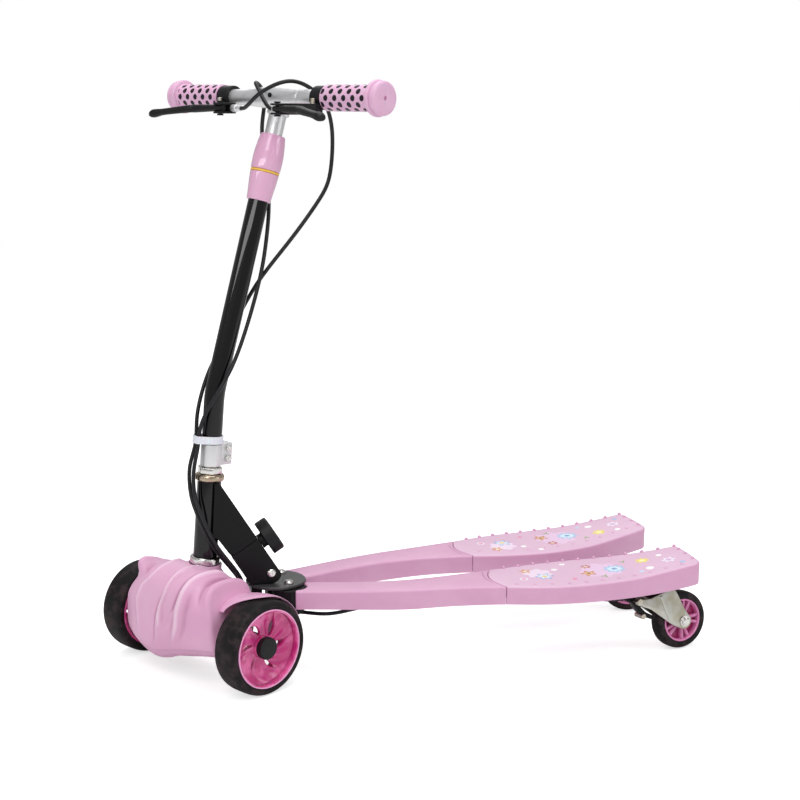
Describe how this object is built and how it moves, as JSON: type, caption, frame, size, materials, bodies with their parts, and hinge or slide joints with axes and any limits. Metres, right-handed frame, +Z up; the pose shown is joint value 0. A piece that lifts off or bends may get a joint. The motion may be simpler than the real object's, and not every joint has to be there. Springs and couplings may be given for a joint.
{
  "type": "kids scooter",
  "caption": "Folding kids scooter with splayed swinging foot decks, swivelling braked rear wheels, a moulded front cover and a height-adjustable T handlebar.",
  "frame": {"origin": "on the ground, in the middle of the object's box", "axes": "+X forwards, +Y to the rider's left, +Z up"},
  "size_m": [0.785, 0.3504, 0.7466],
  "materials": {
    "pink_plastic": "satin pink moulded plastic and rubber",
    "hub_pink": "translucent magenta moulding",
    "tyre_rubber": "black cast rubber",
    "black_steel": "black powder coat",
    "black_plastic": "black moulded plastic",
    "zinc_steel": "zinc plated",
    "silver_alloy": "polished and lacquered",
    "chrome": "bright plated",
    "grey_steel": "dark grey paint",
    "yellow_ring": "yellow moulded ring",
    "white_plastic": "white nylon"
  },
  "bodies": {
    "base": {"base_frame": "black_steel", "pivot_plate": "grey_steel", "pivot_bolt_left": "chrome", "pivot_bolt_right": "chrome", "fold_bolt": "chrome"},
    "head": {"lower_bracket": "black_steel", "upper_bracket": "black_steel", "head_tube": "black_steel", "headset_cup_lower": "chrome", "headset_cup_upper": "chrome"},
    "knob": {"lock_knob": "black_plastic"},
    "steering": {"steerer_tube": "zinc_steel", "lock_nut": "chrome", "stem_clamp": "silver_alloy", "clamp_bolt_upper": "zinc_steel", "clamp_bolt_lower": "zinc_steel", "stem_tube": "black_steel", "collar_lower": "pink_plastic", "collar_ring": "yellow_ring", "cable_tie": "white_plastic", "axle_beam": "black_steel", "front_axle": "zinc_steel", "fairing": "pink_plastic", "brake_cable_left": "black_plastic", "brake_cable_right": "black_plastic"},
    "collar": {"collar_upper": "pink_plastic"},
    "handlebar": {"inner_stem": "silver_alloy", "t_bar": "silver_alloy", "grip_left": "pink_plastic", "grip_right": "pink_plastic", "lever_bracket_left": "black_plastic", "lever_bracket_right": "black_plastic", "adjuster_left": "silver_alloy", "adjuster_right": "silver_alloy"},
    "lever_left": {"brake_lever_left": "black_plastic"},
    "lever_right": {"brake_lever_right": "black_plastic"},
    "front_wheel_left": {"tyre_front_left": "tyre_rubber", "hub_front_left": "hub_pink", "bearing_left": "zinc_steel", "wheel_cap_left": "black_plastic"},
    "front_wheel_right": {"tyre_front_right": "tyre_rubber", "hub_front_right": "hub_pink", "bearing_right": "zinc_steel", "wheel_cap_right": "black_plastic"},
    "deck_left": {"deck_arm_left": "pink_plastic", "deck_platform_left": "pink_plastic", "deck_frame_left": "black_steel"},
    "deck_right": {"deck_arm_right": "pink_plastic", "deck_platform_right": "pink_plastic", "deck_frame_right": "black_steel"},
    "caster_left": {"fork_left": "zinc_steel", "rear_axle_left": "chrome"},
    "caster_right": {"fork_right": "zinc_steel", "rear_axle_right": "chrome"},
    "rear_wheel_left": {"tyre_rear_left": "tyre_rubber", "hub_rear_left": "hub_pink"},
    "rear_wheel_right": {"tyre_rear_right": "tyre_rubber", "hub_rear_right": "hub_pink"},
    "brake_left": {"brake_arm_left": "black_steel"},
    "brake_right": {"brake_arm_right": "black_steel"}
  },
  "joints": [
    {"name": "fold", "type": "hinge", "parent": "base", "child": "head", "pos_m": [0.1909, 0.0339, 0.1272], "axis": [0, 1, 0], "range_deg": [-75, 0], "deforming": ["brake_cable_left", "brake_cable_right"]},
    {"name": "knob_pull", "type": "slide", "parent": "head", "child": "knob", "axis": [-0.8439, 0, 0.5366], "range_m": [0, 0.01], "stiffness_N_per_m": 300, "springref_m": -0.01},
    {"name": "steering", "type": "hinge", "parent": "head", "child": "steering", "pos_m": [0.279, 0.0339, 0.06], "axis": [-0.0715, 0, 0.9974], "range_deg": [-60.7, 0.3], "deforming": ["brake_cable_left", "brake_cable_right"]},
    {"name": "stem_height", "type": "slide", "parent": "steering", "child": "handlebar", "axis": [-0.2549, -0.108, 0.9609], "range_m": [-0.02, 0.16], "deforming": ["brake_cable_left", "brake_cable_right"]},
    {"name": "collar_turn", "type": "hinge", "parent": "steering", "child": "collar", "pos_m": [0.25752, 0.0339, 0.35973], "axis": [-0.2549, -0.108, 0.9609], "range_deg": [0, 90]},
    {"name": "lever_left_pull", "type": "hinge", "parent": "handlebar", "child": "lever_left", "pos_m": [0.18211, 0.06661, 0.71023], "axis": [0, 0, 1], "range_deg": [0, 17], "stiffness_Nm_per_rad": 1.5, "springref_deg": -8.59},
    {"name": "lever_right_pull", "type": "hinge", "parent": "handlebar", "child": "lever_right", "pos_m": [0.23543, -0.025, 0.71023], "axis": [0, 0, -1], "range_deg": [0, 17], "stiffness_Nm_per_rad": 1.5, "springref_deg": -8.59},
    {"name": "front_wheel_left_spin", "type": "hinge", "parent": "steering", "child": "front_wheel_left", "pos_m": [0.22213, 0.13161, 0.06], "axis": [-0.503, 0.8643, 0], "continuous": true},
    {"name": "front_wheel_right_spin", "type": "hinge", "parent": "steering", "child": "front_wheel_right", "pos_m": [0.33587, -0.06381, 0.06], "axis": [-0.503, 0.8643, 0], "continuous": true},
    {"name": "deck_left_swing", "type": "hinge", "parent": "base", "child": "deck_left", "pos_m": [0.169, 0.0567, 0.095], "axis": [0, 0, -1], "range_deg": [-2, 15], "deforming": ["brake_cable_left"]},
    {"name": "deck_right_swing", "type": "hinge", "parent": "base", "child": "deck_right", "pos_m": [0.169, 0.0111, 0.095], "axis": [0, 0, 1], "range_deg": [-2, 15], "deforming": ["brake_cable_right"]},
    {"name": "caster_left_swivel", "type": "hinge", "parent": "deck_left", "child": "caster_left", "pos_m": [-0.31085, 0.12001, 0.095], "axis": [0.2586, -0.0104, 0.9659], "range_deg": [-44, 15.5], "deforming": ["brake_cable_left"]},
    {"name": "caster_right_swivel", "type": "hinge", "parent": "deck_right", "child": "caster_right", "pos_m": [-0.31085, -0.05221, 0.095], "axis": [-0.2586, -0.0104, -0.9659], "range_deg": [-44, 15.5], "deforming": ["brake_cable_right"]},
    {"name": "rear_wheel_left_spin", "type": "hinge", "parent": "caster_left", "child": "rear_wheel_left", "pos_m": [-0.35311, 0.11503, 0.03923], "axis": [-0.1995, 0.9778, 0.0639], "continuous": true},
    {"name": "rear_wheel_right_spin", "type": "hinge", "parent": "caster_right", "child": "rear_wheel_right", "pos_m": [-0.35311, -0.04723, 0.03923], "axis": [0.1995, 0.9778, -0.0639], "continuous": true},
    {"name": "brake_left_pull", "type": "hinge", "parent": "caster_left", "child": "brake_left", "pos_m": [-0.27954, 0.12765, 0.07583], "axis": [-0.1995, 0.9778, 0.0639], "range_deg": [0, 4]},
    {"name": "brake_right_pull", "type": "hinge", "parent": "caster_right", "child": "brake_right", "pos_m": [-0.27954, -0.05985, 0.07583], "axis": [0.1995, 0.9778, -0.0639], "range_deg": [0, 4]}
  ],
  "couplings": [
    {"joint": "brake_left_pull", "follows": "lever_left_pull", "ratio": 0.235},
    {"joint": "brake_right_pull", "follows": "lever_right_pull", "ratio": 0.235}
  ]
}
